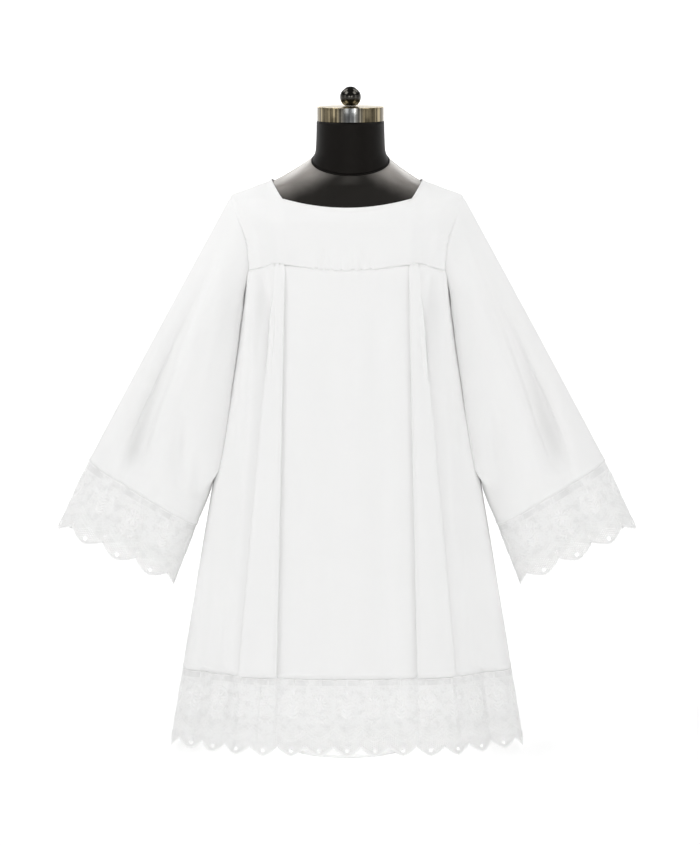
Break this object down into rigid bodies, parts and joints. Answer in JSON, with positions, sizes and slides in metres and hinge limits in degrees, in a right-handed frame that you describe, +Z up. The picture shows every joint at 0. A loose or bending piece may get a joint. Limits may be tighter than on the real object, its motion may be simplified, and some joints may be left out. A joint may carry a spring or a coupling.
{
  "type": "surplice on dress form",
  "caption": "White knee-length surplice with square neck, box pleats, bell sleeves and scalloped lace, on a limbless dress form.",
  "frame": {"origin": "centre of the stand's flat underside, on the floor", "axes": "+Z up along the pole, -Y the front of the garment, +X to the right of someone who faces the front"},
  "size_m": [1.0106, 0.2642, 1.1617],
  "materials": {
    "cloth": "plain white cotton blend, matt with a faint sheen",
    "lace": "white embroidered net with a corded scalloped edge",
    "form_cover": "black stretch cover with a soft sheen",
    "cap_metal": "polished pale gold",
    "knob_metal": "polished dark metal",
    "stand_paint": "smooth white paint"
  },
  "bodies": {
    "root": {"yoke_front": "cloth", "yoke_back": "cloth", "front_panel": "cloth", "back_panel": "cloth", "sleeve_left": "cloth", "sleeve_right": "cloth", "hem_lace_front": "lace", "hem_lace_back": "lace", "cuff_lace_left_front": "lace", "cuff_lace_left_back": "lace", "cuff_lace_right_front": "lace", "cuff_lace_right_back": "lace", "form_torso": "form_cover", "form_neck": "form_cover", "form_cap": "cap_metal", "form_knob": "knob_metal", "form_pole": "stand_paint", "form_base": "stand_paint"}
  },
  "joints": []
}
